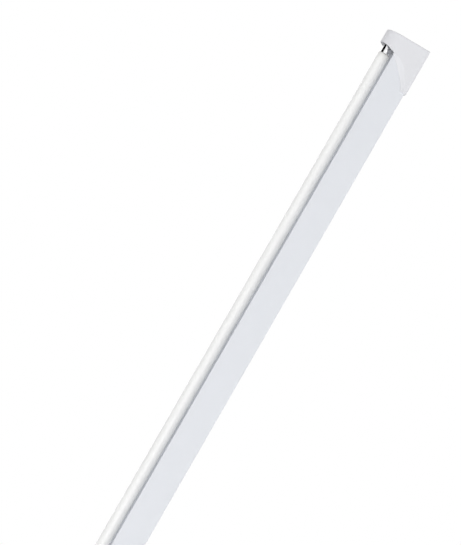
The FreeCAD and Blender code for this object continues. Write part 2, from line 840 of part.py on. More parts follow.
# Earth, wires and clips


def earth_tag():
    """Ring tag on the spine's floor with a barrel for the wire."""
    low, axis_drop = spine_floor_drop + earth_tag_sheet, earth_barrel_drop()
    ring = rod_z(earth_tag_radius, earth_x, earth_y, spine_floor_drop, low)
    barrel_radius = wire_hole_radius + earth_tag_sheet / 2
    barrel_end = earth_x - earth_tag_radius - seat_gap
    barrel_start = barrel_end - 2 * earth_tag_radius
    neck = box(barrel_start, earth_x, earth_y - barrel_radius, earth_y + barrel_radius, spine_floor_drop, low)
    barrel = rod_x(barrel_radius, barrel_start, barrel_end, earth_y, axis_drop)
    bore = rod_x(wire_hole_radius, barrel_start - overrun, barrel_end - seat_gap, earth_y, axis_drop)
    hole = rod_z(screw_shank_radius + turn_gap, earth_x, earth_y, 0, 2 * overrun)
    return cut_all(fuse_all([ring, neck, barrel]), [bore, hole])


def earth_barrel_drop():
    """Drop of the barrel's axis."""
    return spine_floor_drop + wire_hole_radius + earth_tag_sheet


def supply_wires():
    """Live and neutral wires to the ballast and the earth wire to its tag."""
    start = terminal_x + clamp_pocket_length / 2 - clamp_sheet - wire_radius
    out = terminal_face + run_out
    block_face, stop, drop = lead_face(-1), ballast_hole_end(-1), ballast_hole_drop()
    poles, holes = pole_places(), ballast_holes()
    wires = {}
    for name, pole, hole, sag in (("live_wire", poles[0], holes[0], sags[0]),
                                  ("neutral_wire", poles[1], holes[1], sags[1])):
        middle = (out + block_face - run_out) / 2
        places = [(start, pole, wire_hole_drop), (out, pole, wire_hole_drop),
                  (middle, (pole + hole) / 2, drop + sag), (block_face - run_out, hole, drop),
                  (stop, hole, drop)]
        wires[name] = wire_tube(name, places, wire_bend)
    barrel_start = earth_x - 3 * earth_tag_radius - seat_gap
    tip = barrel_start + earth_tag_radius
    places = [(start, poles[2], wire_hole_drop), (out, poles[2], wire_hole_drop),
              (barrel_start - run_out, earth_y, earth_barrel_drop()), (tip, earth_y, earth_barrel_drop())]
    wires["earth_wire"] = wire_tube("earth_wire", places, wire_bend)
    return wires


def lead_face(side):
    """X of the ballast's terminal face at one end."""
    return ballast_x + side * (half_ballast + block_proud)


def lamp_wires(side):
    """Two leads from the ballast along the spine's wall to the lampholder of one end."""
    end = side * (half_length - holder_wire_inset)
    tubes = []
    for hole, loom, y, late in zip(ballast_holes()[2:], loom_drops, (contact_middle_y(), -contact_middle_y()),
                                   (0, 1)):
        rise = end_rise + late * 3 * wire_radius
        turn = end - side * loom_leave * (1 + late / 6)
        join = lead_face(side) + side * loom_join * (1 - late / 3)
        places = [(ballast_hole_end(side), hole, ballast_hole_drop()),
                  (lead_face(side) + side * run_out, hole, ballast_hole_drop()),
                  (join, loom_y, loom), (turn, loom_y, loom),
                  (end - side * loom_leave / 3, y, rise + wire_radius), (end, y, rise),
                  (end, y, contact_top_drop)]
        tubes.append(wire_tube("lamp_wires", places, wire_bend))
    return tubes


def wire_clip(x):
    """Clip on the spine's wall round the two leads, with a mouth between them."""
    top, low = loom_drops[0], loom_drops[1]
    reach = wire_radius + clip_wall
    start, end = x - clip_length / 2, x + clip_length / 2
    body = box(start, end, loom_y - reach, spine_inside, top - reach, low + reach)
    sides = edges_where(body, lambda p: abs(p.y - loom_y + reach) < seat_gap
                        and min(abs(p.z + top - reach), abs(p.z + low + reach)) < seat_gap)
    body = body.makeFillet(clip_wall, sides)
    mouth = (top + low) / 2
    tools = [rod_x(wire_hole_radius, start - overrun, end + overrun, loom_y, drop) for drop in loom_drops]
    tools.append(box(start - overrun, end + overrun, loom_y - wire_radius, loom_y + wire_radius, top, low))
    tools.append(box(start - overrun, end + overrun, loom_y - 2 * reach, loom_y,
                     mouth - loose_gap, mouth + loose_gap))
    return cut_all(body, tools)


def wire_clips():
    """Rows of clips from each end of the ballast to near the spine's end, clear of the cover's bridges."""
    clips = []
    bridge, room = fastener_pitch / 2, bridge_width / 2 + clip_run
    for side in (-1, 1):
        near = side * lead_face(side) + loom_join + clip_run
        for start, end in ((near, bridge - room), (max(near, bridge + room), half_length - clip_inset)):
            if end > start:
                gaps = max(1, round((end - start) / clip_pitch))
                clips += [wire_clip(side * (start + (end - start) * turn / gaps)) for turn in range(gaps + 1)]
    return clips


def main():
    os.makedirs("parts", exist_ok=True)
    ends = {
        "end_cap": end_cap, "lampholder_front": lampholder_front, "lampholder_back": lampholder_back,
        "lampholder_rotor": lampholder_rotor, "lamp_cap": lamp_cap, "lamp_insulator": lamp_insulator,
        "lamp_stem": lamp_stem, "lamp_cathode": lamp_cathode,
    }
    for name, make in ends.items():
        export_ends(name, make())
    for name, pair in (("lampholder_contacts", lampholder_contacts()), ("lamp_pins", lamp_pins())):
        export(name + "_left", [at_left(shape) for shape in pair])
        export(name + "_right", [at_right(shape) for shape in pair])
    export("end_cap_screws", [at_left(end_cap_screw()), at_right(end_cap_screw())])
    export("lamp_glass", lamp_glass())
    export("spine_channel", spine_channel())
    export("gear_cover", gear_cover())
    for name, side in (("left", -1), ("right", 1)):
        export("cover_bridge_" + name, cover_bridge(side))
        export("cover_fastener_" + name, cover_fastener(side))
    export("cable_grommet", cable_grommet())
    export("blanking_plugs", [blanking_plug(side) for side in (-1, 1)])
    export("terminal_block", terminal_block())
    export("terminal_clamps", terminal_clamps())
    for name, y in zip(("live", "neutral", "earth"), pole_places()):
        export("release_button_" + name, release_button(y))
    export("ballast_base", ballast_base())
    export("ballast_lid", ballast_lid())
    export("ballast_board", ballast_board())
    export("ballast_choke", ballast_choke())
    export("ballast_capacitors", ballast_capacitors())
    export("ballast_terminal_mains", ballast_terminal(-1))
    export("ballast_terminal_lamp", ballast_terminal(1))
    tab_seat = spine_floor_drop + ballast_sheet
    export("ballast_screws", [pan_screw(ballast_x + side * ballast_screw_reach(), 0, tab_seat)
                              for side in (-1, 1)])
    export("earth_tag", earth_tag())
    export("earth_screw", pan_screw(earth_x, earth_y, spine_floor_drop + earth_tag_sheet))
    for name, tube in supply_wires().items():
        export(name, tube)
    export("lamp_wires_left", lamp_wires(-1))
    export("lamp_wires_right", lamp_wires(1))
    export("wire_clips", wire_clips())


main()
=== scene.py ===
"""Slim ceiling batten with one thin fluorescent tube: finishes, detail pieces, plain studio and camera."""

import math

import bmesh
import bpy
import numpy as np
from mathutils import Matrix, Vector


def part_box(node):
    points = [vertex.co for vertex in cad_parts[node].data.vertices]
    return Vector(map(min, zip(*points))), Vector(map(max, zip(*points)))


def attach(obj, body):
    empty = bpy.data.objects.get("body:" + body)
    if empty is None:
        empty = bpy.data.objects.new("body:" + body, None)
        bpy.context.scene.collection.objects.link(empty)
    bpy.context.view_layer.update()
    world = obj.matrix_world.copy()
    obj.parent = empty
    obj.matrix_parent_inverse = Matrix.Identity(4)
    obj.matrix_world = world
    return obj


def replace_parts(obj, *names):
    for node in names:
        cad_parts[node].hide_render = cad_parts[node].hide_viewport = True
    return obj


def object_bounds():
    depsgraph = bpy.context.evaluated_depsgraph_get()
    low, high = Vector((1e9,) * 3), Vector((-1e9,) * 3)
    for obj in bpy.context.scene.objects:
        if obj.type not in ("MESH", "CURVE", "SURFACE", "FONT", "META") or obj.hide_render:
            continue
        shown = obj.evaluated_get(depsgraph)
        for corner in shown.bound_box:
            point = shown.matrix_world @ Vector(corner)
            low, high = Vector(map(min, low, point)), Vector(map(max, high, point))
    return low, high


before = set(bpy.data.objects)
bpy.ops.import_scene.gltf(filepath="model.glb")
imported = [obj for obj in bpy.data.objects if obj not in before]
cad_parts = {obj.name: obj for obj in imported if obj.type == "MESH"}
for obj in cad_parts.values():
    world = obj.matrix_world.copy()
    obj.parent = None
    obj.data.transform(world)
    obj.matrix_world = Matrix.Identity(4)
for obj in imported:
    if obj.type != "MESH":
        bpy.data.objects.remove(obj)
cad_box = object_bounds()

mm = 0.001
ENDS = (("left", -1), ("right", 1))
SCREW_HEAD_RADIUS = 3.2 * mm


# Node helpers


def add(tree, kind, sockets=None, **settings):
    """Puts a node in a tree. A socket's value is either a plain value or the output that feeds it."""
    node = tree.nodes.new(kind)
    for name, value in settings.items():
        setattr(node, name, value)
    for key, value in (sockets or {}).items():
        if isinstance(value, bpy.types.NodeSocket):
            tree.links.new(value, node.inputs[key])
        else:
            node.inputs[key].default_value = value
    return node


def bare_tree(owner):
    """Empty node tree of a material or a world."""
    owner.use_nodes = True
    owner.node_tree.nodes.clear()
    return owner.node_tree


def shared_effect(name, inputs, outputs):
    """Starts a node group and returns it with its inner input and output nodes."""
    group = bpy.data.node_groups.new(name, "ShaderNodeTree")
    for label, kind, value in inputs:
        socket = group.interface.new_socket(label, in_out="INPUT", socket_type="NodeSocket" + kind)
        if value is not None:
            socket.default_value = value
    for label, kind in outputs:
        group.interface.new_socket(label, in_out="OUTPUT", socket_type="NodeSocket" + kind)
    return group, add(group, "NodeGroupInput").outputs, add(group, "NodeGroupOutput").inputs


def effect(tree, group, **sockets):
    """A shared effect's first output, with this material's own values."""
    values = {name.replace("_", " "): value for name, value in sockets.items()}
    return add(tree, "ShaderNodeGroup", values, node_tree=group).outputs[0]


def math_node(tree, operation, *values):
    """One math node on values or outputs."""
    return add(tree, "ShaderNodeMath", dict(enumerate(values)), operation=operation).outputs[0]


def noise(tree, place, scale, detail):
    """Noise value at a place."""
    return add(tree, "ShaderNodeTexNoise", {"Vector": place, "Scale": scale, "Detail": detail}).outputs["Fac"]


def object_place(tree):
    """Place on the object's own axes."""
    return add(tree, "ShaderNodeTexCoord").outputs["Object"]


def mix_colour(tree, share, first, second):
    """Colour between a first and a second one."""
    return add(tree, "ShaderNodeMix", {"Factor": share, 6: first, 7: second}, data_type="RGBA").outputs[2]


def mix_shader(tree, share, first, second):
    """Shader between a first and a second one."""
    return add(tree, "ShaderNodeMixShader", {0: share, 1: first, 2: second}).outputs[0]


def rgba(tone):
    """Tone with full opacity."""
    return (*tone, 1.0)


# Shared effects


def build_tone_drift():
    """Colour that drifts in soft patches between a tone and a deeper one."""
    group, given, result = shared_effect(
        "tone_drift",
        [("Place", "Vector", None), ("Tone", "Color", (1, 1, 1, 1)),
         ("Deep Tone", "Color", (0.5, 0.5, 0.5, 1)), ("Patch Scale", "Float", 20.0),
         ("Fine Scale", "Float", 900.0), ("Fine Share", "Float", 0.3)],
        [("Color", "Color")])
    broad = noise(group, given["Place"], given["Patch Scale"], 3.0)
    fine = noise(group, given["Place"], given["Fine Scale"], 1.0)
    spread = math_node(group, "MULTIPLY_ADD", fine, given["Fine Share"], broad)
    share = add(group, "ShaderNodeMapRange", {"Value": spread, "From Min": 0.35, "From Max": 1.0}).outputs[0]
    group.links.new(mix_colour(group, share, given["Tone"], given["Deep Tone"]), result["Color"])
    return group


def build_gloss_drift():
    """Roughness that wanders round its own value, as handling and moulding leave it."""
    group, given, result = shared_effect(
        "gloss_drift",
        [("Place", "Vector", None), ("Roughness", "Float", 0.4), ("Spread", "Float", 0.05),
         ("Patch Scale", "Float", 35.0)],
        [("Roughness", "Float")])
    level = math_node(group, "SUBTRACT", noise(group, given["Place"], given["Patch Scale"], 4.0), 0.5)
    wander = math_node(group, "MULTIPLY", level, given["Spread"])
    group.links.new(math_node(group, "MULTIPLY_ADD", wander, 2.0, given["Roughness"]), result["Roughness"])
    return group


def build_skin_relief():
    """Height of a coat's soft ripple with a finer grain on it."""
    group, given, result = shared_effect(
        "skin_relief",
        [("Place", "Vector", None), ("Ripple Scale", "Float", 400.0), ("Grain Scale", "Float", 2500.0),
         ("Grain Share", "Float", 0.25)],
        [("Height", "Float")])
    ripple = noise(group, given["Place"], given["Ripple Scale"], 1.0)
    grain = noise(group, given["Place"], given["Grain Scale"], 2.0)
    group.links.new(math_node(group, "MULTIPLY_ADD", grain, given["Grain Share"], ripple), result["Height"])
    return group


def build_soft_edges():
    """Normal that rolls over a sharp edge within a small radius."""
    group, given, result = shared_effect(
        "soft_edges", [("Radius", "Float", 0.3 * mm)], [("Normal", "Vector")])
    bevel = add(group, "ShaderNodeBevel", {"Radius": given["Radius"]}, samples=4)
    group.links.new(bevel.outputs[0], result["Normal"])
    return group


TONE_DRIFT = build_tone_drift()
GLOSS_DRIFT = build_gloss_drift()
SKIN_RELIEF = build_skin_relief()
SOFT_EDGES = build_soft_edges()


# Finishes


def finish(name, tone, deep_tone, roughness, spread=0.05, metallic=0.0, coat=0.0, relief=0.02 * mm,
           ripple=400.0, grain=2500.0, patch=20.0, soft_edge=0.3 * mm, stretch=(1, 1, 1), colour=None,
           transmission=0.0):
    """Material of one finish: drifting tone, wandering gloss and a fine relief on the object's own place."""
    material = bpy.data.materials.new(name)
    material.use_nodes = True
    tree = material.node_tree
    shader = tree.nodes["Principled BSDF"]
    place = add(tree, "ShaderNodeMapping", {"Vector": object_place(tree), "Scale": stretch}).outputs[0]
    drift = effect(tree, TONE_DRIFT, Place=place, Tone=rgba(tone), Deep_Tone=rgba(deep_tone),
                   Patch_Scale=patch)
    if colour:
        drift = colour(tree, drift)
    gloss = effect(tree, GLOSS_DRIFT, Place=place, Roughness=roughness, Spread=spread)
    height = effect(tree, SKIN_RELIEF, Place=place, Ripple_Scale=ripple, Grain_Scale=grain)
    edges = effect(tree, SOFT_EDGES, Radius=soft_edge)
    bump = add(tree, "ShaderNodeBump",
               {"Height": height, "Distance": relief, "Strength": 1.0, "Normal": edges}).outputs[0]
    for socket, source in (("Base Color", drift), ("Roughness", gloss), ("Normal", bump)):
        tree.links.new(source, shader.inputs[socket])
    plain = {"Metallic": metallic, "Coat Weight": coat, "Transmission Weight": transmission}
    for socket, value in plain.items():
        shader.inputs[socket].default_value = value
    return material


def wrap_stripes(second, width, share):
    """Colour step that lays slanting stripes of a second tone over the first, along X."""

    def colour(tree, first):
        part = add(tree, "ShaderNodeSeparateXYZ", {0: object_place(tree)}).outputs
        slant = math_node(tree, "ADD", part[0], math_node(tree, "ADD", part[1], part[2]))
        phase = math_node(tree, "FRACT", math_node(tree, "DIVIDE", slant, width))
        return mix_colour(tree, math_node(tree, "LESS_THAN", phase, share), first, rgba(second))

    return colour


def darker_ends(tint):
    """Colour step for the tube: the coat thins and greys in the last stretch before each metal cap."""
    stretch, curve = 14 * mm, 2.5
    cap_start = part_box("lamp_cap_right")[0].x

    def colour(tree, first):
        along = add(tree, "ShaderNodeSeparateXYZ", {0: object_place(tree)}).outputs[0]
        share = add(tree, "ShaderNodeMapRange",
                    {"Value": math_node(tree, "ABSOLUTE", along), "From Min": cap_start - stretch,
                     "From Max": cap_start}).outputs[0]
        return mix_colour(tree, math_node(tree, "POWER", share, curve), first, rgba(tint))

    return colour


# Each look has a tone, a deeper tone and a roughness, then what sets it apart
LOOKS = {
    "white_steel": ((0.77, 0.79, 0.83), (0.75, 0.77, 0.81), 0.42, {"relief": 0.012 * mm}),
    "white_cap": ((0.785, 0.79, 0.82), (0.765, 0.77, 0.80), 0.53,
                  {"relief": 0.006 * mm, "ripple": 260.0, "grain": 3200.0, "soft_edge": 0.4 * mm}),
    # The lampholder's dark grey is its own tone made darker as painted shade: it darkens the shaded mouth of
    # the horn round the metal cap.
    "holder_plastic": ((0.15, 0.15, 0.155), (0.12, 0.12, 0.124), 0.5, {"relief": 0.01 * mm}),
    "lamp_glass": ((0.96, 0.96, 0.955), (0.945, 0.945, 0.94), 0.22,
                   {"spread": 0.03, "relief": 0.004 * mm, "ripple": 120.0, "soft_edge": 0.0,
                    "colour": darker_ends((0.74, 0.735, 0.72))}),
    "lamp_metal": ((0.92, 0.92, 0.93), (0.86, 0.86, 0.87), 0.12,
                   {"metallic": 1.0, "relief": 0.004 * mm, "stretch": (12, 1, 1), "ripple": 200.0,
                    "soft_edge": 0.0}),
    "pin_brass": ((0.66, 0.51, 0.22), (0.58, 0.44, 0.18), 0.28, {"metallic": 1.0}),
    "insulator": ((0.62, 0.50, 0.36), (0.55, 0.43, 0.30), 0.55, {}),
    "clear_glass": ((0.93, 0.94, 0.94), (0.88, 0.90, 0.90), 0.06,
                    {"spread": 0.02, "relief": 0.004 * mm, "soft_edge": 0.0, "transmission": 0.9}),
    "tungsten": ((0.35, 0.34, 0.33), (0.22, 0.21, 0.21), 0.4, {"metallic": 1.0}),
    "contact_metal": ((0.80, 0.66, 0.42), (0.70, 0.55, 0.33), 0.3, {"metallic": 1.0}),
    "zinc_steel": ((0.62, 0.64, 0.66), (0.50, 0.52, 0.55), 0.34,
                   {"spread": 0.1, "metallic": 1.0, "patch": 180.0}),
    "fastener_plastic": ((0.82, 0.83, 0.84), (0.79, 0.80, 0.81), 0.38, {}),
    "grey_rubber": ((0.16, 0.165, 0.17), (0.11, 0.115, 0.12), 0.68, {"relief": 0.04 * mm}),
    "grey_plastic": ((0.66, 0.67, 0.68), (0.61, 0.62, 0.63), 0.46, {}),
    "button_red": ((0.62, 0.06, 0.05), (0.52, 0.045, 0.04), 0.4, {}),
    "button_blue": ((0.06, 0.16, 0.55), (0.045, 0.12, 0.45), 0.4, {}),
    "button_green": ((0.10, 0.42, 0.12), (0.07, 0.33, 0.09), 0.4, {}),
    "board_green": ((0.05, 0.22, 0.09), (0.035, 0.16, 0.065), 0.35, {"coat": 0.3}),
    "choke_black": ((0.05, 0.05, 0.055), (0.03, 0.03, 0.033), 0.5, {}),
    "capacitor_blue": ((0.04, 0.07, 0.17), (0.03, 0.05, 0.12), 0.32, {}),
    "wire_brown": ((0.17, 0.075, 0.035), (0.13, 0.055, 0.025), 0.42, {}),
    "wire_blue": ((0.045, 0.13, 0.46), (0.035, 0.10, 0.37), 0.42, {}),
    "wire_earth": ((0.10, 0.38, 0.09), (0.07, 0.30, 0.065), 0.42,
                   {"colour": wrap_stripes((0.80, 0.66, 0.05), 6 * mm, 0.4)}),
    "wire_white": ((0.78, 0.78, 0.77), (0.73, 0.73, 0.72), 0.44, {}),
}
FINISHES = {name: finish(name, *look, **apart) for name, (*look, apart) in LOOKS.items()}

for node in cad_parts.values():
    for holder in node.material_slots:
        holder.material = FINISHES[holder.material.name.split(".")[0]]


# Detail pieces


def place_object(name, data):
    """New object in the scene."""
    made = bpy.data.objects.new(name, data)
    bpy.context.scene.collection.objects.link(made)
    return made


def make_piece(name, shells, slot, body):
    """Mesh of closed skins, each of them rows of points that join their neighbours in and across rows."""
    points, faces, start = [], [], 0
    for rows in shells:
        count, turns = rows.shape[:2]
        row, turn = np.meshgrid(np.arange(count - 1), np.arange(turns), indexing="ij")
        after = (turn + 1) % turns
        quads = np.stack([row * turns + turn, row * turns + after, (row + 1) * turns + after,
                          (row + 1) * turns + turn], axis=-1).reshape(-1, 4)
        points.append(rows.reshape(-1, 3))
        faces.append(quads + start)
        start += count * turns
    mesh = bpy.data.meshes.new(name)
    mesh.from_pydata(np.concatenate(points), [], np.concatenate(faces))
    shape = bmesh.new()
    shape.from_mesh(mesh)
    bmesh.ops.remove_doubles(shape, verts=shape.verts, dist=1e-7)
    bmesh.ops.recalc_face_normals(shape, faces=shape.faces)
    shape.to_mesh(mesh)
    shape.free()
    mesh.shade_smooth()
    piece = place_object(name, mesh)
    mesh.materials.append(FINISHES[slot])
    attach(piece, body)
    return piece


def middle(low, high):
    """Middle of a box."""
    return [(least + most) / 2 for least, most in zip(low, high)]


def full_turn(turns):
    """Angles of one full turn, without its last one."""
    return np.linspace(0, 2 * np.pi, turns, endpoint=False)


def round_corner(centre, radius, start, stop, steps=8):
    """Arc of a profile: centre plus radius times (cos, sin) of an angle in degrees from start to stop."""
    angle = np.radians(np.linspace(start, stop, steps))
    return np.stack([centre[0] + radius * np.cos(angle), centre[1] + radius * np.sin(angle)], axis=-1)


def closed_ring(profile):
    """Profile that goes round the section of a hollow piece and ends where it starts."""
    return np.concatenate([profile, profile[:1]])


def turned_along_x(profile, axis, turns=72):
    """Profile points (x, r) turned round the axis: (x, y0 + r cos t, z0 + r sin t) over a full turn."""
    angle = full_turn(turns)
    x, r = profile[:, :1], profile[:, 1:]
    return np.stack([x + 0 * angle, axis[0] + r * np.cos(angle), axis[1] + r * np.sin(angle)], axis=-1)


def turned_along_z(profile, centre, turns=72):
    """Profile points (r, z) turned round an upright line: (x0 + r cos t, y0 + r sin t, z)."""
    angle = full_turn(turns)
    r, z = profile[:, :1], profile[:, 1:]
    return np.stack([centre[0] + r * np.cos(angle), centre[1] + r * np.sin(angle), z + 0 * angle], axis=-1)


def lamp_tube():
    """Coated tube: a straight run between rounded shoulders, drawn in to necks that the metal caps hide."""
    low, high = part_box("lamp_glass")
    radius, axis = (high.y - low.y) / 2, (0.0, middle(low, high)[2])
    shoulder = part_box("lamp_cap_right")[0].x
    neck, neck_edge, corner, corner_start = 5.9 * mm, 1.0 * mm, 2.0 * mm, 5
    corner_steps, rows = 12, 24
    half = np.concatenate([
        [(high.x, 0.0)], round_corner((high.x - neck_edge, neck - neck_edge), neck_edge, 0, 90),
        [(shoulder, neck)],
        round_corner((shoulder - corner, radius - corner), corner, corner_start, 90, corner_steps),
        np.stack([np.linspace(shoulder - 2 * corner, 0.0, rows), np.full(rows, radius)], axis=-1)])
    profile = np.concatenate([half, half[-2::-1] * (-1, 1)])
    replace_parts(make_piece("lamp_tube", [turned_along_x(profile, axis)], "lamp_glass", "lamp"), "lamp_glass")


def crimp_depth(along, angle, face, length):
    """Depth of two crimp rings of dents round the cap, the second ring turned by half a dent.

    A dent's depth is a bell of the distance along x times the top of a cosine of the angle.
    """
    dents, half_width, depth, cosine_floor = 4, 0.35 * mm, 0.07 * mm, 0.8
    total = 0
    for share, turn in ((0.72, 0.0), (0.80, 0.5)):
        bell = np.exp(-((along - (face - share * length)) / half_width) ** 2)
        cosine = np.clip(np.cos(dents * (angle - turn * np.pi / dents)), cosine_floor, 1)
        total = total + bell * (cosine - cosine_floor) / (1 - cosine_floor)
    return total * depth


def lamp_cap(name, side):
    """Drawn metal cap: round front edge, plain wall, two crimp rings and a slightly flared rear edge."""
    low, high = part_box("lamp_cap_" + name)
    outer, centre = (high.z - low.z) / 2, middle(low, high)[2]
    face, back = (high.x, low.x) if side > 0 else (-low.x, -high.x)
    seat, wall, corner, flare = 4.6 * mm, 0.4 * mm, 0.8 * mm, 0.12 * mm
    flare_run, flare_land, crimp_floor, rows, turns = 0.6 * mm, 0.2 * mm, 1.2, 48, 96
    run = np.linspace(face - corner, back + flare_run, rows)
    outside = np.stack([run, np.full(rows, outer - flare)], axis=-1)
    inside = np.stack([run[::-1], np.full(rows, outer - flare - wall)], axis=-1)
    profile = closed_ring(np.concatenate([
        [(face - wall, seat), (face, seat)],
        round_corner((face - corner, outer - flare - corner), corner, 0, 90)[:-1], outside,
        [(back + flare_land, outer), (back, outer), (back, outer - wall)], inside,
        [(face - wall, outer - flare - corner)]]))
    skin = turned_along_x(profile, (0.0, centre), turns)
    depth = crimp_depth(profile[:, :1], full_turn(turns), face, face - back)
    depth = np.where(profile[:, 1:] > seat * crimp_floor, depth, 0)
    across = skin[..., 1:] - (0.0, centre)
    radius = np.linalg.norm(across, axis=-1)
    skin[..., 1:] = (0.0, centre) + across * ((radius - depth) / radius)[..., None]
    skin[..., 0] *= side
    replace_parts(make_piece("lamp_end_" + name, [skin], "lamp_metal", "lamp"), "lamp_cap_" + name)


def cable_grommet():
    """Rubber ring: round lip outside, groove for the sheet, tapered lip inside and rounded bore mouths."""
    low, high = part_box("cable_grommet")
    bore, neck, reach = 4.5 * mm, 9.9 * mm, (high.x - low.x) / 2
    edge, lip, sheet, taper_start = 0.28 * mm, 0.6 * mm, 0.6 * mm, -20
    groove_top, groove_low = high.z - lip, high.z - (lip + sheet)
    profile = closed_ring(np.concatenate([
        round_corner((bore + edge, high.z - edge), edge, 180, 90),
        round_corner((reach - edge, high.z - edge), edge, 90, 0),
        [(reach, groove_top), (neck, groove_top), (neck, groove_low), (reach, groove_low)],
        round_corner((reach - 3 * edge, low.z + edge), edge, taper_start, -90),
        round_corner((bore + edge, low.z + edge), edge, -90, -180)]))
    ring = turned_along_z(profile, middle(low, high)[:2])
    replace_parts(make_piece("rubber_entry_ring", [ring], "grey_rubber", "housing"), "cable_grommet")


def blanking_plugs():
    """Push-in plugs: dished face with a round rim, hollow neck and a bead that snaps behind the sheet."""
    low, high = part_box("blanking_plugs")
    reach, neck, inner, edge, rim = 11.5 * mm, 9.9 * mm, 8.9 * mm, 0.25 * mm, 0.6 * mm
    dish_depth, dish_reach, dish_power, floor, taper = 0.3 * mm, 8 * mm, 4, 1.2 * mm, 0.2 * mm
    bead_radius, bead_inset, bead_drop, bead_half_angle = 0.5 * mm, 0.3 * mm, 2.0 * mm, 53
    face = np.linspace(0, reach - edge, 16)
    dish = high.z - dish_depth * np.clip(1 - (face / dish_reach) ** dish_power, 0, 1)
    bead = round_corner((neck - bead_inset, high.z - bead_drop), bead_radius, bead_half_angle,
                        -bead_half_angle)
    profile = np.concatenate([
        np.stack([face, dish], axis=-1), round_corner((reach - edge, high.z - edge), edge, 90, 0),
        [(reach, high.z - rim), (neck, high.z - rim)], bead,
        [(neck - taper, low.z), (inner, low.z), (inner, high.z - floor), (0, high.z - floor)]])
    plugs = [turned_along_z(profile, (x, 0.0)) for x in (low.x + reach, high.x - reach)]
    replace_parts(make_piece("entry_plugs", plugs, "grey_plastic", "housing"), "blanking_plugs")


def screw(place, head, tip, sunk):
    """Screw on an upright line, its head at one height and its tip at the other.

    The head's face drops inside a cross of two bars, and the shank's radius rises and falls with height plus
    turn, which winds a thread round it.
    """
    turns, up = 72, 1 if head > tip else -1
    angle = full_turn(turns)
    shank, pitch, thread_depth, thread_rows = 1.5 * mm, 0.6 * mm, 0.35 * mm, 80
    cross_depth, cross_reach, cross_slope, bar_ratio = 0.7 * mm, 1.6 * mm, 0.35 * mm, 2.6
    crown_drop, head_height, sunk_rim, round_rim = 0.9 * mm, 1.8 * mm, 0.15 * mm, 1.2 * mm
    plain_run, point_run, point_end = 0.4 * mm, 0.8 * mm, 0.3 * mm
    face = np.linspace(0, SCREW_HEAD_RADIUS, 26)[:, None]
    x, y = face * np.cos(angle), face * np.sin(angle)
    off_x, off_y = np.abs(x), np.abs(y)
    cross = np.minimum(np.maximum(off_x, bar_ratio * off_y), np.maximum(bar_ratio * off_x, off_y))
    recess = np.clip((cross_reach - cross) / cross_slope, 0, 1) * cross_depth
    crown = 0 if sunk else crown_drop * (face / SCREW_HEAD_RADIUS) ** 3
    top = np.stack([x, y, -recess - crown + 0 * angle], axis=-1)
    rim = [sunk_rim] if sunk else [round_rim, head_height]
    side = np.array([(SCREW_HEAD_RADIUS, drop) for drop in rim] + [(shank, head_height)])
    length = abs(head - tip)
    run = np.linspace(head_height + plain_run, length - point_run, thread_rows)[:, None]
    wave = np.abs(2 * np.mod(run / pitch - angle / (2 * np.pi), 1) - 1)
    radius = shank - thread_depth * wave
    thread = np.stack([radius * np.cos(angle), radius * np.sin(angle), -run + 0 * angle], axis=-1)
    point = np.array([(0.7 * shank, length - point_end), (0.4 * shank, length), (0, length)])
    ring = turned_along_z(side * (1, -1), (0, 0), turns)
    end = turned_along_z(point * (1, -1), (0, 0), turns)
    return np.concatenate([top, ring, thread, end]) * (1, 1, up) + (*place, head)


def screws():
    """Sunk screws in the end caps, and round head screws that hold the ballast and the earth tag."""
    low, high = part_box("end_cap_screws")
    places = (low.x + SCREW_HEAD_RADIUS, high.x - SCREW_HEAD_RADIUS)
    sunk = [screw((x, 0.0), high.z, low.z, True) for x in places]
    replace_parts(make_piece("sunk_screws", sunk, "zinc_steel", "housing"), "end_cap_screws")
    low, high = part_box("ballast_screws")
    places = (low.x + SCREW_HEAD_RADIUS, high.x - SCREW_HEAD_RADIUS)
    pair = [screw((x, 0.0), low.z, high.z, False) for x in places]
    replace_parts(make_piece("ballast_fixings", pair, "zinc_steel", "housing"), "ballast_screws")
    low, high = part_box("earth_screw")
    single = screw(middle(low, high)[:2], low.z, high.z, False)
    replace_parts(make_piece("earth_fixing", [single], "zinc_steel", "housing"), "earth_screw")


def swept(path, normal, radius, turns=12):
    """Round wire: a circle at each path point, square to the heading, with closed ends."""
    heading = np.gradient(path, axis=0)
    heading /= np.linalg.norm(heading, axis=1)[:, None]
    across = np.cross(heading, normal)
    across /= np.linalg.norm(across, axis=1)[:, None]
    facing = np.cross(across, heading)
    angle = full_turn(turns)[None, :, None]
    skin = path[:, None] + radius * (np.cos(angle) * facing[:, None] + np.sin(angle) * across[:, None])
    ends = [np.repeat(path[end][None, None], turns, axis=1) for end in (0, -1)]
    return np.concatenate([ends[0], skin, ends[1]])


def cathode(name, side):
    """Cathode: fine wire coiled round a line across the tube, held by two legs that bend in at their tips."""
    low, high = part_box("lamp_cathode_" + name)
    foot, tip = (high.x, low.x) if side > 0 else (low.x, high.x)
    centre, wire, leg = middle(low, high)[2], 0.1 * mm, 0.3 * mm
    coil_x, coil_radius, half_coil = tip + side * 0.7 * mm, 0.6 * mm, 2.4 * mm
    coil_turns, steps_per_turn, leg_rows, leg_apart, leg_bend = 9, 20, 16, 2.5 * mm, 0.25 * mm
    turn = np.linspace(0, 2 * np.pi * coil_turns, coil_turns * steps_per_turn)
    out = np.stack([np.cos(turn), 0 * turn, np.sin(turn)], axis=-1)
    line = np.stack([coil_x + 0 * turn, np.linspace(-half_coil, half_coil, turn.size), centre + 0 * turn],
                    axis=-1)
    skins = [swept(line + (coil_radius - wire) * out, out, wire, 8)]
    share = np.linspace(0, 1, leg_rows)
    for way in (-1, 1):
        path = np.stack([foot + (coil_x - foot) * share, way * (leg_apart - leg_bend * share ** 4),
                         centre + 0 * share], axis=-1)
        skins.append(swept(path, np.tile((0.0, 0.0, 1.0), (leg_rows, 1)), leg))
    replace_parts(make_piece("cathode_coil_" + name, skins, "tungsten", "lamp"), "lamp_cathode_" + name)


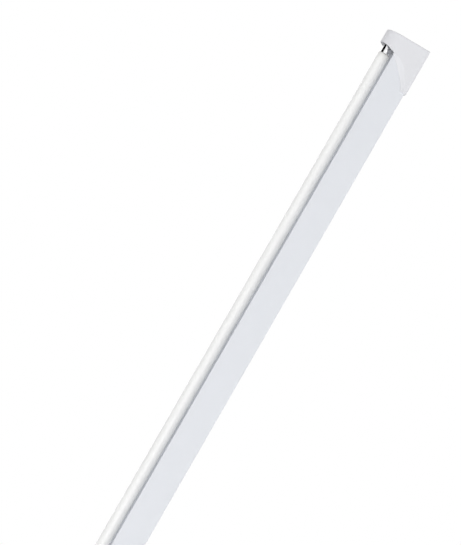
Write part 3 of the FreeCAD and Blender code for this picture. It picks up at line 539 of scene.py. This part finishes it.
def capacitors():
    """Lying cans: rounded shoulder, rolled groove near one end and a sleeve edge round the flat end."""
    low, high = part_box("ballast_capacitors")
    radius, length, edge, sleeve_edge = (high.z - low.z) / 2, 22 * mm, 0.9 * mm, 1.4 * mm
    groove_depth, groove_share, groove_half_width = 0.45 * mm, 0.86, 0.7 * mm
    end_recess, end_rim = 0.3 * mm, 1.3 * mm
    run = np.linspace(edge, length - edge, 60)
    groove = groove_depth * np.exp(-((run - length * groove_share) / groove_half_width) ** 2)
    profile = np.concatenate([
        [(0, 0), (0, radius - sleeve_edge), (0, radius - edge)],
        round_corner((edge, radius - edge), edge, 180, 90), np.stack([run, radius - groove], axis=-1),
        round_corner((length - edge, radius - edge), edge, 90, 0),
        [(length - end_recess, radius - end_rim), (length - end_recess, 0)]])
    cans = [turned_along_x(profile + (start, 0), middle(low, high)[1:]) for start in (low.x, high.x - length)]
    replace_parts(make_piece("capacitor_cans", cans, "capacitor_blue", "housing"), "ballast_capacitors")


lamp_tube()
for end_name, end_side in ENDS:
    lamp_cap(end_name, end_side)
    cathode(end_name, end_side)
cable_grommet()
blanking_plugs()
screws()
capacitors()


# Studio and camera


def seen_directly(tree):
    """One for camera, glossy and transmission rays, else nothing."""
    rays = add(tree, "ShaderNodeLightPath").outputs
    first = math_node(tree, "MAXIMUM", rays["Is Camera Ray"], rays["Is Glossy Ray"])
    return math_node(tree, "MAXIMUM", first, rays["Is Transmission Ray"])


def floor_material():
    """Pale floor: near white where seen, with the shadow kept, and open from below."""
    glow_share = 0.92
    material = bpy.data.materials.new("studio_floor")
    tree = bare_tree(material)
    tone = effect(tree, TONE_DRIFT, Place=object_place(tree), Tone=rgba((0.9, 0.9, 0.9)),
                  Deep_Tone=rgba((0.88, 0.88, 0.88)), Patch_Scale=0.5, Fine_Scale=40.0)
    matt = add(tree, "ShaderNodeBsdfDiffuse", {"Color": tone}).outputs[0]
    glow = add(tree, "ShaderNodeEmission", {"Color": (1, 1, 1, 1), "Strength": 1.0}).outputs[0]
    seen = mix_shader(tree, seen_directly(tree), matt, mix_shader(tree, glow_share, matt, glow))
    clear = add(tree, "ShaderNodeBsdfTransparent").outputs[0]
    behind = add(tree, "ShaderNodeNewGeometry").outputs["Backfacing"]
    add(tree, "ShaderNodeOutputMaterial", {0: mix_shader(tree, behind, seen, clear)})
    return material


def black_material():
    """Plain black that gives off no light."""
    material = bpy.data.materials.new("black_flag")
    tree = bare_tree(material)
    dark = add(tree, "ShaderNodeEmission", {"Color": (0, 0, 0, 1), "Strength": 0.0}).outputs[0]
    add(tree, "ShaderNodeOutputMaterial", {0: dark})
    return material


def level_card(name, x_reach, front, behind, height, material):
    """Flat level sheet of the stage, the same way to either side in x, between two y."""
    mesh = bpy.data.meshes.new(name)
    mesh.from_pydata([(-x_reach, front, height), (x_reach, front, height), (x_reach, behind, height),
                      (-x_reach, behind, height)], [], [(0, 1, 2, 3)])
    card = place_object(name, mesh)
    mesh.materials.append(material)
    return card


def softbox(name, direction, distance, size, level):
    """Square lamp that looks at the fixture; level is the share of plain white on a facing surface."""
    lamp = bpy.data.lights.new(name, "AREA")
    lamp.shape = "SQUARE"
    lamp.size = size
    lamp.energy = level * math.pi ** 2 * distance ** 2
    holder = place_object(name, lamp)
    towards = Vector(direction).normalized()
    holder.location = towards * distance
    holder.rotation_euler = towards.to_track_quat("Z", "Y").to_euler()
    holder.visible_camera = False


def surround():
    """White surround: full white where it is seen, and a weaker level where it lights."""
    light_level, seen_level = 0.42, 1.0
    world = bpy.data.worlds.new("studio")
    bpy.context.scene.world = world
    tree = bare_tree(world)
    lit, white = (add(tree, "ShaderNodeBackground", {"Color": (1, 1, 1, 1), "Strength": level}).outputs[0]
                  for level in (light_level, seen_level))
    add(tree, "ShaderNodeOutputWorld", {0: mix_shader(tree, seen_directly(tree), lit, white)})


def studio():
    """Floor, white surround, soft lamps and a dark card that shows only as a line reflected in the metal."""
    floor_half = 100.0
    level_card("studio_floor", floor_half, -floor_half, floor_half, height=-4.0, material=floor_material())
    surround()
    softbox("front_softbox", (0.18, -1.0, -0.22), distance=8.0, size=4.4, level=0.48)
    softbox("back_softbox", (-0.2, 1.0, 0.25), distance=6.0, size=4.0, level=0.48)
    softbox("ceiling_side_softbox", (0.1, -0.2, 1.0), distance=6.0, size=4.0, level=0.35)
    card = level_card("black_flag", 0.9, -0.27, 0.45, height=-0.5, material=black_material())
    card.visible_camera = card.visible_diffuse = card.visible_transmission = card.visible_shadow = False


def camera():
    """Long lens at the photograph's angle, rolled so that the fixture runs steeply down the picture."""
    yaw, pitch, roll = math.radians(7.7), math.radians(5.7), math.radians(120.7)
    distance, picture_height, sensor = 20.0, 0.703, 36.0
    corner_right, corner_up = 0.2582, 0.2843
    forward = Vector((-math.sin(yaw) * math.cos(pitch), math.cos(yaw) * math.cos(pitch), math.sin(pitch)))
    level = Vector((math.cos(yaw), math.sin(yaw), 0))
    upright = level.cross(forward)
    right = level * math.cos(roll) + upright * math.sin(roll)
    up = upright * math.cos(roll) - level * math.sin(roll)
    corner = Vector((cad_box[0].x, cad_box[0].y, cad_box[1].z))
    aim = corner - right * corner_right - up * corner_up
    lens = bpy.data.cameras.new("camera")
    lens.sensor_width = sensor
    lens.lens = sensor * distance / picture_height
    lens.clip_start, lens.clip_end = 0.1, 200.0
    holder = place_object("camera", lens)
    turned = Matrix((right, up, -forward)).transposed().to_4x4()
    holder.matrix_world = Matrix.Translation(aim - forward * distance) @ turned
    bpy.context.scene.camera = holder


studio()
camera()
bpy.context.scene.view_settings.view_transform = "Standard"
